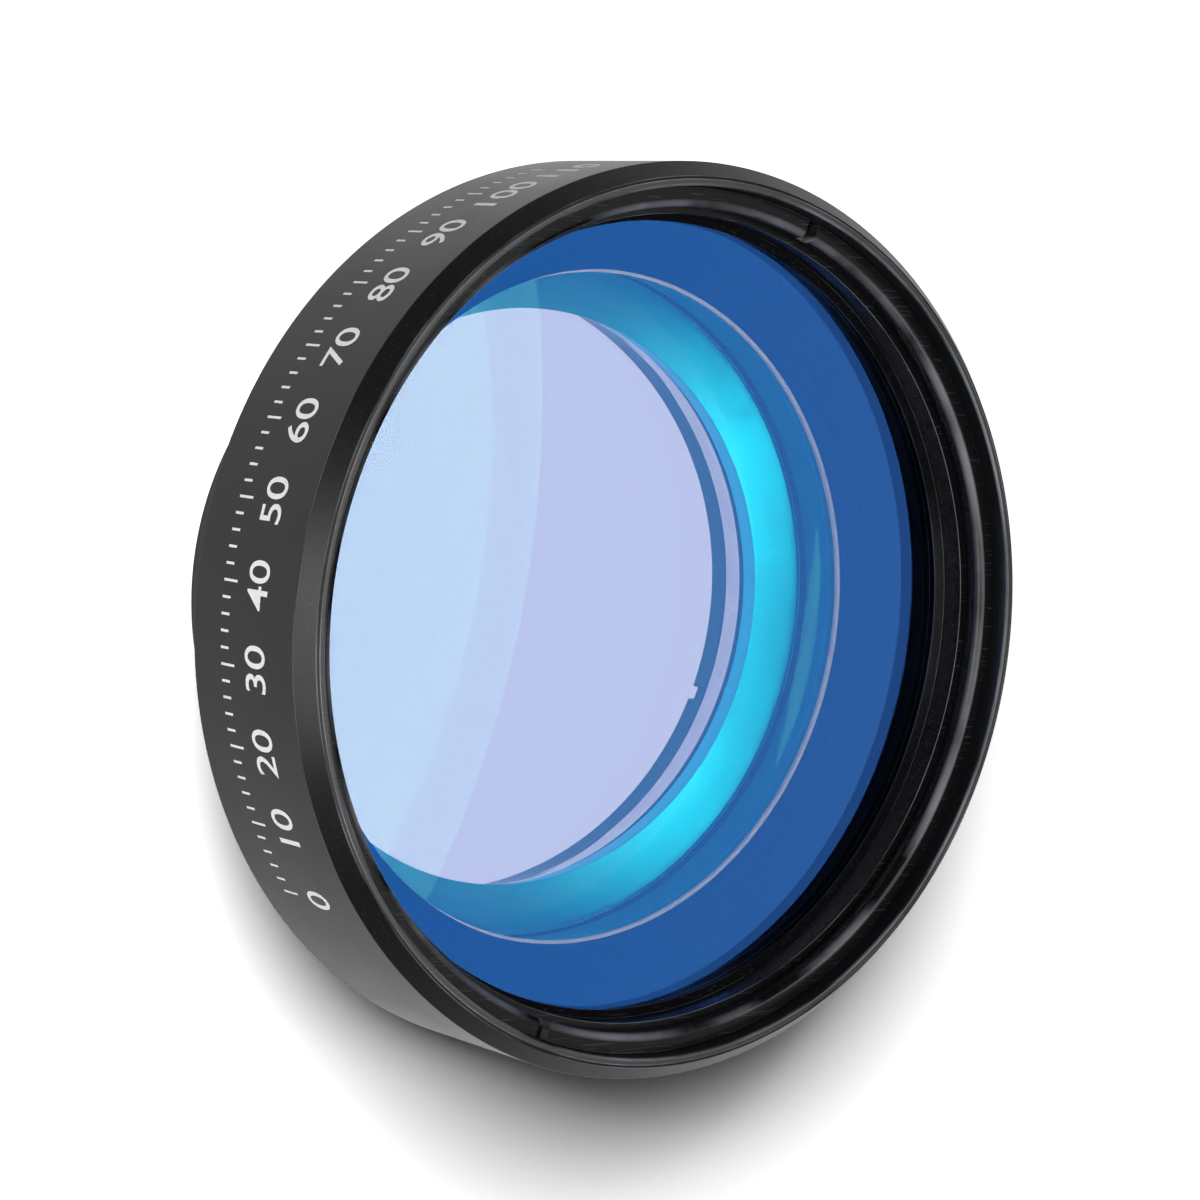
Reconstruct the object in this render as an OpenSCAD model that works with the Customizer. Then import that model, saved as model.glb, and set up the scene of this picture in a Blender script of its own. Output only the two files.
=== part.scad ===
// F-theta scan lens with a threaded mount.
// The optical axis is Z. The lens stands on the end of its rear nose at Z = 0, with the
// threaded neck above it, and the flat window that faces the work is at the top.

/* [Barrel] */
// Outside diameter of the barrel
barrel_d = 101.5; // [96:0.1:112]
// Thickness of the barrel wall outside the front thread
barrel_wall = 2.7; // [2.2:0.05:4]
// Axial length of the conical bevel round the front of the barrel
bevel_len = 2.1; // [0.8:0.1:3]
// Width of the flat front rim between its two roundings
rim_land = 0.4; // [0.2:0.05:1]
// Rounding of the front rim, inside and outside
rim_round = 0.35; // [0.1:0.05:0.5]
// Chamfer on the rear edge of the large diameter
shoulder_chamfer = 0.25; // [0.1:0.05:1]

/* [Mounting thread] */
// Major diameter of the mounting thread
mount_d = 85; // [76:0.5:92]
// Thickness of the neck wall round the front and middle lenses
neck_wall = 2.4; // [2:0.1:4]
// Length of the neck that carries the thread
neck_len = 14.8; // [13:0.1:16]
// Length of the relief groove between thread and shoulder
relief_len = 1.6; // [0.5:0.1:3]
// Radial depth of the relief groove
relief_depth = 0.75; // [0.3:0.05:1]
// How far the relief groove reaches into the face of the shoulder
relief_undercut = 0.3; // [0.1:0.05:0.6]
// Radial step from the thread out to the edge of the shoulder's bearing face
relief_margin = 0.5; // [0.3:0.05:1.5]
// Length of the smooth lead behind the thread
lead_len = 1.4; // [1:0.1:2.5]
// Radial step from the thread down to the smooth lead
lead_step = 0.6; // [0.3:0.05:0.8]
// Chamfer on the end of the lead
lead_chamfer = 0.4; // [0.1:0.05:0.8]

/* [Window cell] */
// Thickness of the protective window
window_t = 3; // [2:0.1:4]
// Ground bevel on both edges of the window
window_bevel = 0.3; // [0.1:0.05:0.5]
// Radial gap between the edge of a glass and its bore
glass_gap = 0.1; // [0.05:0.01:0.2]
// Radial gap between a retaining ring and its threaded bore
ring_gap = 0.1; // [0.05:0.01:0.2]
// Radial step from the window bore out to the thread in front of it
front_thread_step = 0.45; // [0.3:0.05:0.5]
// How far the front retaining ring lies behind the rim
ring_recess = 2.2; // [1:0.1:3]
// Height of the front retaining ring
front_ring_h = 2.5; // [2:0.1:4]
// Radial width of the front retaining ring
front_ring_w = 2.2; // [1.8:0.1:3]
// Rounding of the front inner edge of the front retaining ring
front_ring_round = 0.9; // [0.3:0.05:1.2]
// Height of the clamp ring between retaining ring and window
clamp_ring_h = 3.7; // [2.5:0.1:5]
// Radial width of the clamp ring behind the retaining ring
clamp_ring_w = 2.5; // [1.8:0.1:3]
// Width and height of the sloping foot that the clamp ring sets on the window
clamp_foot = 0.9; // [0.4:0.1:1.4]
// Radial width of the seat under the window
window_seat_w = 3.2; // [2.6:0.1:4]
// Thickness of the window seal
window_seal_t = 1.2; // [0.8:0.05:1.6]

/* [Lens cell] */
// Height of the middle lens's seat above the end of the neck
lens_seat_h = 3.4; // [2.5:0.1:7]
// Height of the straight lip under the seat of the middle lens
lens_seat_lip = 1; // [0.5:0.1:2]
// Radius of the convex front face of the front lens
front_lens_r = 188; // [120:1:260]
// Edge thickness of the front lens
front_lens_edge = 2; // [1.5:0.1:3]
// Radius of the convex front face of the middle lens
middle_lens_r1 = 130; // [118:1:180]
// Radius of the concave rear face of the middle lens
middle_lens_r2 = 250; // [200:1:300]
// Edge thickness of the middle lens
middle_lens_edge = 1.8; // [1.5:0.1:2.6]
// Radial width of the flat land round the rear face of the middle lens
lens_land_w = 2.5; // [1.5:0.1:3.4]
// Air between the middle and the front lens on the axis
front_air = 0.6; // [0.3:0.1:1.5]
// Air between the front lens and the window on the axis
window_air = 6.39; // [0.5:0.01:9]
// Radial width of the spacer between the two large lenses
spacer_w = 1.8; // [1:0.1:2.4]
// Radial width of the front lens that the slip ring covers
slip_land_w = 1.7; // [1.4:0.1:3]
// Thickness of the slip ring
slip_ring_t = 0.6; // [0.4:0.1:1]
// Height of the lens retaining ring
lens_ring_h = 2.4; // [1.6:0.1:2.8]
// Step from the slip ring out to the inner edge of the lens retaining ring
lens_ring_step = 0.35; // [0.1:0.05:0.6]
// Bevel round the front inner edge of the lens retaining ring
lens_ring_bevel = 0.8; // [0.3:0.1:1.2]
// Radial step from the lens bore out to the thread in front of it
lens_thread_step = 0.5; // [0.4:0.05:1]
// Gap left between a curved glass face and the edge that bears on it
seat_gap = 0.02; // [0.01:0.01:0.1]

/* [Rear cell] */
// Outside diameter of the nose behind the neck
nose_d = 69.8; // [66:0.1:78]
// Length of the nose behind the neck
nose_len = 12; // [10.2:0.1:16]
// Chamfer on the end of the nose
nose_chamfer = 0.3; // [0.1:0.05:0.4]
// Thickness of the nose wall round the rear lens
nose_wall = 1.4; // [1.2:0.1:3]
// Radius of the convex front face of the rear lens
rear_lens_r1 = 220; // [190:1:400]
// Radius of the concave rear face of the rear lens
rear_lens_r2 = 150; // [140:1:240]
// Edge thickness of the rear lens
rear_lens_edge = 3.6; // [3.2:0.1:4.5]
// Radial width of the flat lands of the rear lens
rear_land_w = 2; // [1.8:0.1:2.6]
// Thickness of the flange in front of the rear lens
flange_t = 3; // [1.4:0.1:4]
// Height of the cone between the flange and the lip under the middle lens
rear_cone_h = 1.8; // [1:0.1:2.6]
// Thickness of the rear seal
rear_seal_t = 0.9; // [0.7:0.05:1.1]
// How far the rear retaining ring lies inside the end of the nose
rear_recess = 0.6; // [0.3:0.1:1.2]
// Height of the rear retaining ring
rear_ring_h = 2.6; // [1.4:0.1:3.6]
// Radial width of the rear retaining ring
rear_ring_w = 1.8; // [1.5:0.1:2.4]
// Radial step from the rear lens bore out to the thread behind it
rear_thread_step = 0.4; // [0.3:0.05:0.8]

/* [Spanner slots] */
// Width of the spanner slots in the front retaining ring
front_slot_w = 1.5; // [1:0.1:3]
// Depth of the spanner slots in the front retaining ring
front_slot_depth = 1.6; // [0.8:0.1:1.8]
// Angle of the front spanner slots about the axis
front_slot_angle = 70.6; // [0:0.1:180]
// Width of the spanner slots in the two inner retaining rings
inner_slot_w = 1.5; // [1:0.1:3]
// Depth of the spanner slots in the two inner retaining rings
inner_slot_depth = 1; // [0.6:0.1:1.4]
// Angle of the inner spanner slots about the axis
inner_slot_angle = 160; // [0:1:180]

/* [Hidden] */
// Fineness of the round surfaces
$fn = 240;
// Steps along a rounded edge of a profile
ROUND_STEPS = 6;
// Overlap that carries a cut through the face that it starts from
CUT = 0.5;
// Stray-light cone: radial step inside the window seat, and thread runout over the ring
cone_lip = 0.5;
thread_runout = 0.6;
// How much wider a seal groove is than its seal
groove_play = 0.4;

// Colours of the finishes
BLACK = "#1b1c1e";
RING_BLACK = "#232427";
BRIGHT = "#c9cbce";
GLASS = [0.55, 0.78, 0.95, 0.45];
RUBBER = "#101010";
PLASTIC = "#e9e9e4";

// Depth of a spherical face of radius r at the height h from its axis
function sag(r, h) = r - sqrt(r * r - h * h);

// Points on an arc of a profile, from the angle a0 to the angle a1
function arc(cx, cz, r, a0, a1) =
    [for (i = [0 : ROUND_STEPS])
        let (a = a0 + (a1 - a0) * i / ROUND_STEPS)
        [cx + r * cos(a), cz + r * sin(a)]];

// Radii of the barrel, its neck and its nose, and the height of the shoulder
barrel_r = barrel_d / 2;
mount_r = mount_d / 2;
nose_r = nose_d / 2;
shoulder_z = nose_len + neck_len;

// Rear cell, from the seat of the middle lens down to the end of the nose
lens_seat_z = nose_len + lens_seat_h;
flange_top = lens_seat_z - lens_seat_lip - rear_cone_h;
flange_z = flange_top - flange_t;
rear_lens_z = flange_z - rear_lens_edge;
rear_ring_top = rear_recess + rear_ring_h;
rear_bore_r = nose_r - nose_wall;
rear_lens_r = rear_bore_r - glass_gap;
rear_thread_r = rear_bore_r + rear_thread_step;
rear_ring_r = rear_thread_r - ring_gap;
rear_ring_in = rear_ring_r - rear_ring_w;
rear_land_in = rear_lens_r - rear_land_w;
flange_in = rear_land_in + glass_gap;

// Lens cell, from the seat of the middle lens up
lens_bore_r = mount_r - neck_wall;
lens_r = lens_bore_r - glass_gap;
lens_aperture_r = lens_r - slip_land_w;
land_in = lens_r - lens_land_w;
lens_seat_in = land_in + glass_gap;
middle_vertex = lens_seat_z + middle_lens_edge + sag(middle_lens_r1, lens_r);
front_lens_z = middle_vertex + front_air;
front_vertex = front_lens_z + front_lens_edge + sag(front_lens_r, lens_r);
spacer_in = lens_r - spacer_w;
spacer_z = middle_vertex - sag(middle_lens_r1, spacer_in) + seat_gap;
slip_z = front_vertex - sag(front_lens_r, lens_aperture_r) + seat_gap;
lens_ring_z = slip_z + slip_ring_t;
lens_ring_top = lens_ring_z + lens_ring_h;
lens_thread_r = lens_bore_r + lens_thread_step;
lens_ring_r = lens_thread_r - ring_gap;
lens_ring_in = lens_aperture_r + lens_ring_step;
slip_r = lens_ring_r - lens_thread_step / 2;
lens_thread_z = slip_z - thread_runout;
lens_thread_top = lens_ring_top + thread_runout;

// Window cell, from the front lens up to the rim
front_thread_r = barrel_r - barrel_wall;
window_bore_r = front_thread_r - front_thread_step;
window_r = window_bore_r - glass_gap;
window_clear_r = window_bore_r - window_seat_w;
window_z = front_vertex + window_air;
clamp_z = window_z + window_t;
clamp_r = window_bore_r - ring_gap;
clamp_in = clamp_r - clamp_ring_w;
front_ring_z = clamp_z + clamp_ring_h;
front_ring_top = front_ring_z + front_ring_h;
front_ring_r = front_thread_r - ring_gap;
front_ring_in = front_ring_r - front_ring_w;
total_h = front_ring_top + ring_recess;
rim_in = front_thread_r + rim_round;
rim_out = rim_in + rim_land + rim_round;

// Middle of each seal groove
window_seal_r = window_bore_r - window_seat_w / 2;
rear_seal_r = rear_lens_r - rear_land_w / 2;

// A seal of round section, and the groove that holds it
module seal_ring(mean_r, z, t) {
    rotate_extrude()
        translate([mean_r, z])
            circle(d = t);
}

module seal_groove(mean_r, z, t) {
    translate([mean_r - t / 2 - groove_play / 2, z])
        square([t + groove_play, t]);
}

// Two opposite slots for a pin spanner, cut down from the height z
module spanner_slots(r, z, width, depth, angle) {
    rotate([0, 0, angle])
        translate([-r - CUT, -width / 2, z - depth])
            cube([2 * (r + CUT), width, depth + CUT]);
}

// Outside of the barrel: nose, neck, relief groove, shoulder, bevel and rounded rim
function barrel_outline() = concat(
    [[0, 0],
     [nose_r - nose_chamfer, 0],
     [nose_r, nose_chamfer],
     [nose_r, nose_len],
     [mount_r - lead_step - lead_chamfer, nose_len],
     [mount_r - lead_step, nose_len + lead_chamfer],
     [mount_r - lead_step, nose_len + lead_len],
     [mount_r, nose_len + lead_len + lead_step],
     [mount_r, shoulder_z - relief_len],
     [mount_r - relief_depth, shoulder_z - relief_len],
     [mount_r - relief_depth, shoulder_z + relief_undercut],
     [mount_r + relief_margin, shoulder_z + relief_undercut],
     [mount_r + relief_margin, shoulder_z],
     [barrel_r - shoulder_chamfer, shoulder_z],
     [barrel_r, shoulder_z + shoulder_chamfer],
     [barrel_r, total_h - bevel_len]],
    arc(rim_out - rim_round, total_h - rim_round, rim_round, 0, 90),
    [[0, total_h]]);

// Bore of the barrel, from the end of the nose to the rim
function bore_outline() = concat(
    [[0, -CUT],
     [rear_thread_r, -CUT],
     [rear_thread_r, rear_ring_top],
     [rear_bore_r, rear_ring_top],
     [rear_bore_r, flange_z],
     [flange_in, flange_z],
     [flange_in, flange_top],
     [lens_seat_in, lens_seat_z - lens_seat_lip],
     [lens_seat_in, lens_seat_z],
     [lens_bore_r, lens_seat_z],
     [lens_bore_r, lens_thread_z],
     [lens_thread_r, lens_thread_z],
     [lens_thread_r, lens_thread_top],
     [window_clear_r - cone_lip, window_z - cone_lip],
     [window_clear_r, window_z],
     [window_bore_r, window_z],
     [window_bore_r, front_ring_z],
     [front_thread_r, front_ring_z]],
    arc(rim_in, total_h - rim_round, rim_round, 180, 90),
    [[rim_in, total_h + CUT],
     [0, total_h + CUT]]);

module main_barrel() {
    color(BLACK)
        rotate_extrude()
            difference() {
                polygon(barrel_outline());
                polygon(bore_outline());
                seal_groove(window_seal_r, window_z - window_seal_t, window_seal_t);
                seal_groove(rear_seal_r, flange_z, rear_seal_t);
            }
}

module front_retaining_ring() {
    color(RING_BLACK)
        difference() {
            rotate_extrude()
                polygon(concat(
                    [[front_ring_in, front_ring_z],
                     [front_ring_r, front_ring_z],
                     [front_ring_r, front_ring_top]],
                    arc(front_ring_in + front_ring_round,
                        front_ring_top - front_ring_round,
                        front_ring_round, 90, 180)));
            spanner_slots(front_ring_r, front_ring_top,
                          front_slot_w, front_slot_depth, front_slot_angle);
        }
}

// The clamp ring presses the window down without turning on it
module window_clamp_ring() {
    color(RING_BLACK)
        rotate_extrude()
            polygon([[clamp_in, front_ring_z],
                     [clamp_in, clamp_z + clamp_foot],
                     [clamp_in - clamp_foot, clamp_z],
                     [clamp_r, clamp_z],
                     [clamp_r, front_ring_z]]);
}

module protective_window() {
    color(GLASS)
        rotate_extrude()
            polygon([[0, window_z],
                     [window_r - window_bevel, window_z],
                     [window_r, window_z + window_bevel],
                     [window_r, clamp_z - window_bevel],
                     [window_r - window_bevel, clamp_z],
                     [0, clamp_z]]);
}

module window_seal() {
    color(RUBBER)
        seal_ring(window_seal_r, window_z - window_seal_t / 2, window_seal_t);
}

module lens_retaining_ring() {
    color(RING_BLACK)
        difference() {
            rotate_extrude()
                polygon([[lens_ring_in, lens_ring_z],
                         [lens_ring_r, lens_ring_z],
                         [lens_ring_r, lens_ring_top],
                         [lens_ring_in + lens_ring_bevel, lens_ring_top],
                         [lens_ring_in, lens_ring_top - lens_ring_bevel]]);
            spanner_slots(lens_ring_r, lens_ring_top,
                          inner_slot_w, inner_slot_depth, inner_slot_angle);
        }
}

// The slip ring bears on the curved face along its inner edge
module lens_slip_ring() {
    color(PLASTIC)
        rotate_extrude()
            translate([lens_aperture_r, slip_z])
                square([slip_r - lens_aperture_r, slip_ring_t]);
}

// A lens that is convex at the front, with the edge of its rear face at the height z. Its
// rear face is flat, or with a rear_r concave inside a flat land. With a front_land it has
// a flat land round the front face as well.
module ground_lens(r, z, edge, front_r, rear_r = 0, rear_land = 0, front_land = 0) {
    crown_r = r - front_land;
    vertex = z + edge + sag(front_r, crown_r);
    rear_vertex = rear_r > 0 ? z + sag(rear_r, r - rear_land) : z;
    difference() {
        union() {
            intersection() {
                translate([0, 0, z])
                    cylinder(r = crown_r, h = vertex - z + CUT);
                translate([0, 0, vertex - front_r])
                    sphere(r = front_r);
            }
            if (front_land > 0)
                translate([0, 0, z])
                    cylinder(r = r, h = edge);
        }
        if (rear_r > 0)
            translate([0, 0, rear_vertex - rear_r])
                sphere(r = rear_r);
    }
}

module front_lens() {
    color(GLASS)
        ground_lens(lens_r, front_lens_z, front_lens_edge, front_lens_r);
}

// The spacer bears on the curved face of the middle lens along its inner edge
module lens_spacer() {
    color(RING_BLACK)
        rotate_extrude()
            translate([spacer_in, spacer_z])
                square([spacer_w, front_lens_z - spacer_z]);
}

module middle_lens() {
    color(GLASS)
        ground_lens(lens_r, lens_seat_z, middle_lens_edge, middle_lens_r1,
                    middle_lens_r2, lens_land_w);
}

// The flange and the seal bear on the front land of the rear lens, and the pressure ring
// on the other
module rear_lens() {
    color(GLASS)
        ground_lens(rear_lens_r, rear_lens_z, rear_lens_edge, rear_lens_r1,
                    rear_lens_r2, rear_land_w, rear_land_w);
}

module rear_seal() {
    color(RUBBER)
        seal_ring(rear_seal_r, flange_z + rear_seal_t / 2, rear_seal_t);
}

// The pressure ring holds the rear lens without turning on it
module rear_pressure_ring() {
    color(BRIGHT)
        rotate_extrude()
            translate([rear_ring_in, rear_ring_top])
                square([rear_lens_r - rear_ring_in, rear_lens_z - rear_ring_top]);
}

module rear_retaining_ring() {
    color(RING_BLACK)
        difference() {
            rotate_extrude()
                translate([rear_ring_in, rear_recess])
                    square([rear_ring_w, rear_ring_h]);
            rotate([180, 0, 0])
                spanner_slots(rear_ring_r, -rear_recess,
                              inner_slot_w, inner_slot_depth, -inner_slot_angle);
        }
}

main_barrel();
front_retaining_ring();
window_clamp_ring();
protective_window();
window_seal();
lens_retaining_ring();
lens_slip_ring();
front_lens();
lens_spacer();
middle_lens();
rear_lens();
rear_seal();
rear_pressure_ring();
rear_retaining_ring();
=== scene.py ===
import math
from types import SimpleNamespace

import bpy
from bpy.props import (FloatProperty, FloatVectorProperty, IntProperty, PointerProperty,
                       StringProperty)
from bpy.types import Operator, Panel, PropertyGroup
from mathutils import Matrix, Vector


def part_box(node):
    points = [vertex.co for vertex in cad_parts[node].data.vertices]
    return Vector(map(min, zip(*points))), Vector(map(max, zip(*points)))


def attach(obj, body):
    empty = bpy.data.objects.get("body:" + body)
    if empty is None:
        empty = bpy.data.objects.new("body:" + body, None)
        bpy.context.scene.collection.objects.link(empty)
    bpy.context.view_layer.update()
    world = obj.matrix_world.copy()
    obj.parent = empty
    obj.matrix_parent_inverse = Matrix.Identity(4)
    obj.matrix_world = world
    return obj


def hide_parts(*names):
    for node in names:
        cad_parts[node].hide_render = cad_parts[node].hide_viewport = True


bl_info = {
    "name": "F-Theta Scan Lens",
    "version": (1, 0, 0),
    "blender": (4, 5, 0),
    "location": "View3D > Sidebar > Scan Lens",
    "description": "Builds the finished pieces of a threaded f-theta scan lens and its studio",
    "category": "Object",
}

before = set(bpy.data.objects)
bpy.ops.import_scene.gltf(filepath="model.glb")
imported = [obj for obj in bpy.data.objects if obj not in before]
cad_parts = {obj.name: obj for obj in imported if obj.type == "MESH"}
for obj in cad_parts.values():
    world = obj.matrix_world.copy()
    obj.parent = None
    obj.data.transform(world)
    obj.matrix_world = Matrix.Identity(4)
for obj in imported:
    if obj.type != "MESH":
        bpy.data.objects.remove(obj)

MM = 0.001
BODY = "root"

# Facets round a turned piece, steps along a rounded corner, along a broken edge and
# across a lens face, sides of a seal's round section, and steps in a turn of thread
TURN_STEPS = 360
CORNER_STEPS = 6
BREAK_STEPS = 3
LENS_STEPS = 40
SEAL_STEPS = 24
THREAD_STEPS = 180
# A broken edge on every corner that has no rounding of its own, and how far the extra
# edge loops lie from it, which keep the flat faces beside it flat
EDGE_BREAK = 0.08
HOLD = 0.04
# The most that a rounding may take of the shorter side, and the angle from which a
# corner counts as straight
SIDE_SHARE = 0.45
NEARLY_STRAIGHT = math.radians(170)
# How far a filled mark stands out of the metal
MARK_PROUD = 0.02
# The text size that makes a digit one unit high
DIGIT_SIZE = 1.42
# Refractive index of the lenses. The window's is above that of its glass and stands for
# a coating that returns much light.
LENS_INDEX = 1.507
WINDOW_INDEX = 2.4
# Half a side of the floor, in metres, and the width of the camera's sensor, in mm
FLOOR_HALF = 1.5
SENSOR = 36.0
# Every softbox: its name, where it lies from the lens, how far off and how large it is in
# metres, which studio value is its brightness, and whether it lights all but the floor
# or the floor alone, so that only one softbox throws a shadow
SOFTBOXES = (
    ("key_softbox", (0.66, -0.08, 0.75), 0.7, (0.8, 0.34), "key_radiance", "EXCLUDE"),
    ("high_softbox", (0.2, -0.03, 0.98), 0.7, (0.8, 0.42), "high_radiance", "EXCLUDE"),
    ("side_softbox", (-0.83, -0.08, 0.55), 0.6, (0.42, 0.24), "side_radiance", "EXCLUDE"),
    ("shadow_softbox", (-0.56, 0.36, 0.75), 1.6, (0.6, 0.4), "shadow_radiance", "INCLUDE"),
)


# ---- Sizes read from the frame, in millimetres

class Ring:
    """The outer radius and the lowest and highest point of a CAD node."""

    def __init__(self, node):
        low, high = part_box(node)
        self.r = high.x / MM
        self.low = low.z / MM
        self.top = high.z / MM
        self.height = self.top - self.low


BARREL = Ring("main_barrel")
FRONT_RING = Ring("front_retaining_ring")
CLAMP_RING = Ring("window_clamp_ring")
WINDOW = Ring("protective_window")
WINDOW_SEAL = Ring("window_seal")
LENS_RING = Ring("lens_retaining_ring")
SLIP_RING = Ring("lens_slip_ring")
FRONT_LENS = Ring("front_lens")
SPACER = Ring("lens_spacer")
MIDDLE_LENS = Ring("middle_lens")
REAR_LENS = Ring("rear_lens")
REAR_SEAL = Ring("rear_seal")
PRESSURE_RING = Ring("rear_pressure_ring")
REAR_RING = Ring("rear_retaining_ring")


# ---- What a user may change

def length(name, description, default_mm):
    """A size in metres, given here in millimetres."""
    return FloatProperty(name=name, description=description, default=default_mm * MM,
                         min=0.0, precision=5, subtype="DISTANCE", unit="LENGTH")


def angle(name, description, default_degrees):
    return FloatProperty(name=name, description=description,
                         default=math.radians(default_degrees), subtype="ANGLE",
                         unit="ROTATION")


def amount(name, description, default):
    """A plain number."""
    return FloatProperty(name=name, description=description, default=default, min=0.0)


def whole(name, description, default):
    """A whole number."""
    return IntProperty(name=name, description=description, default=default, min=1)


def colour(name, description, default_hex):
    return StringProperty(name=name, description=description, default=default_hex)


class SCANLENS_PG_barrel(PropertyGroup):
    nose_radius: length("Nose radius", "Radius of the nose behind the neck", 34.9)
    nose_length: length("Nose length", "Length of the nose behind the neck", 12.0)
    nose_chamfer: length("Nose chamfer", "Chamfer on the end of the nose", 0.3)
    neck_length: length("Neck length", "From the nose to the shoulder", 14.8)
    thread_major: length("Thread radius", "Major radius of the mounting thread", 42.5)
    thread_pitch: length("Thread pitch", "Pitch of the mounting thread", 1.0)
    thread_depth: length("Thread depth", "Height of the thread's ridge", 0.61)
    lead_length: length("Lead length", "Smooth lead behind the thread", 1.4)
    lead_step: length("Lead step", "From the thread down to the smooth lead", 0.6)
    lead_chamfer: length("Lead chamfer", "Chamfer on the end of the lead", 0.4)
    relief_length: length("Relief length", "Groove between thread and shoulder", 1.6)
    relief_depth: length("Relief depth", "Depth of the groove below the thread", 0.75)
    relief_undercut: length("Relief undercut", "How far it cuts into the shoulder", 0.3)
    relief_margin: length("Relief margin", "From the thread to the bearing face", 0.5)
    shoulder_chamfer: length("Shoulder chamfer", "Chamfer on the rear edge", 0.25)
    bevel_length: length("Bevel length", "Axial length of the front bevel", 2.1)
    bevel_round: length("Bevel rounding", "Rounding of the edge behind the bevel", 0.2)
    bevel_end: length("Bevel end", "From the front end of the bevel to the rim", 0.14)
    rim_land: length("Rim land", "Flat width of the front rim", 0.4)
    rim_round: length("Rim rounding", "Rounding of the front rim", 0.35)
    fit_gap: length("Fit gap", "Radial gap between a piece and its bore", 0.1)
    seat_width: length("Window seat", "Radial width of the seat under the window", 3.2)
    seat_lip: length("Seat lip", "Bevel inside the window seat", 0.5)
    thread_runout: length("Thread runout", "Thread past each end of the lens ring", 0.6)
    groove_play: length("Groove play", "How much wider a seal groove is than its seal", 0.4)
    lens_seat: length("Lens seat", "Inner radius of the seat of the middle lens", 37.6)
    lens_lip: length("Lens seat lip", "Height of the straight lip under that seat", 1.0)
    flange_inner: length("Flange bore", "Inner radius of the flange", 31.5)
    flange_thickness: length("Flange", "Thickness of the flange on the rear lens", 3.0)


class SCANLENS_PG_rings(PropertyGroup):
    front_width: length("Front ring width", "Radial width of the front ring", 2.2)
    front_round: length("Front ring rounding", "Round of its inner front edge", 0.9)
    clamp_width: length("Clamp ring width", "Radial width of the clamp ring", 2.5)
    clamp_foot: length("Clamp foot", "Sloping foot on the window", 0.9)
    lens_width: length("Lens ring width", "Radial width of the lens ring", 1.85)
    lens_bevel: length("Lens ring bevel", "Bevel of its inner front edge", 0.8)
    slip_width: length("Slip ring width", "Radial width of the slip ring", 1.95)
    spacer_width: length("Spacer width", "Radial width of the spacer", 1.8)
    rear_width: length("Rear ring width", "Radial width of the rear ring", 1.8)
    pressure_width: length("Pressure ring width", "Radial width of the pressure ring", 1.4)
    slot_width: length("Slot width", "Width of the spanner slots", 1.5)
    front_slot_depth: length("Front slot depth", "Depth of the front slots", 1.6)
    inner_slot_depth: length("Inner slot depth", "Depth of the inner slots", 1.0)
    front_slot_angle: angle("Front slot angle", "Place of the front slots", 70.6)
    inner_slot_angle: angle("Inner slot angle", "Place of the inner slots", 160)


class SCANLENS_PG_glass(PropertyGroup):
    front_convex: length("Front lens R1", "Radius of the convex face", 188)
    front_edge: length("Front lens edge", "Edge thickness", 2.0)
    middle_convex: length("Middle lens R1", "Radius of the convex face", 130)
    middle_concave: length("Middle lens R2", "Radius of the concave face", 250)
    middle_edge: length("Middle lens edge", "Edge thickness", 1.8)
    rear_convex: length("Rear lens R1", "Radius of the convex face", 220)
    rear_concave: length("Rear lens R2", "Radius of the concave face", 150)
    rear_edge: length("Rear lens edge", "Edge thickness", 3.6)
    land: length("Land", "Flat land round the rear of a large lens", 2.5)
    rear_land: length("Rear lens land", "Flat lands of the rear lens", 2.0)
    window_bevel: length("Window bevel", "Ground bevel of the window", 0.3)


class SCANLENS_PG_scale(PropertyGroup):
    first_angle: angle("First mark", "Where the scale starts", 216)
    step: angle("Step", "Angle from one mark to the next", 2.0)
    marks: whole("Marks", "How many marks", 56)
    per_number: whole("Marks per number", "Marks from one number to the next", 5)
    units_per_number: whole("Units", "How much each number adds", 10)
    mark_width: length("Mark width", "Width of one mark", 0.28)
    mark_length: length("Mark length", "Length of a short mark", 1.5)
    long_share: amount("Long mark", "Length of a long mark, in short ones", 1.7)
    mark_height: length("Mark height", "Rear end of the marks above the shoulder", 5.6)
    digit_height: length("Digit height", "Height of the numbers", 3.8)
    digit_base: length("Digit base", "Foot of the numbers above the shoulder", 14.0)
    digit_weight: length("Digit weight", "How much bolder than the plain letter form", 0.02)


class SCANLENS_PG_finish(PropertyGroup):
    anodised: colour("Barrel", "Black dyed oxide of the barrel", "#0a0b0c")
    anodised_ring: colour("Rings", "Black dyed oxide of the rings", "#070708")
    bare_edge: colour("Worn edge", "Oxide rubbed thin on the edges", "#5a5c60")
    window_coat: colour("Window coating", "Light that the window's coating returns",
                        "#1d86ff")
    lens_coat: colour("Lens coating", "Light that the lens coating returns", "#068979")
    window_glass: colour("Window glass", "Tint of the window", "#f4f8ff")
    lens_glass: colour("Lens glass", "Tint of the large lenses", "#fcfcff")
    rear_glass: colour("Rear lens", "Tint of the dense rear lens", "#c5c4de")
    rubber: colour("Seals", "Black nitrile rubber", "#131313")
    slip_plastic: colour("Slip ring", "White fluoropolymer", "#ecece6")
    lacquer: colour("Bore", "Matt black lacquer inside the barrel", "#060607")
    bright: colour("Pressure ring", "Clear anodised aluminium", "#c9cbce")
    bright_pale: colour("Pressure ring, pale", "Its paler patches", "#e4e6e8")
    # The turquoise of the rear cell and the spacer is a painted reflection of the lens
    # coating, with paler patches at random
    dyed: colour("Rear cell", "Turquoise painted reflection of the lens coating, between the lenses", "#00d2fa")
    painted_reflection_pale: colour("Rear cell, pale", "Its paler patches", "#1adcff")
    mark: colour("Marks", "White engraved marks", "#f0f0ee")
    floor: colour("Floor", "Studio paper", "#ececec")


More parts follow.
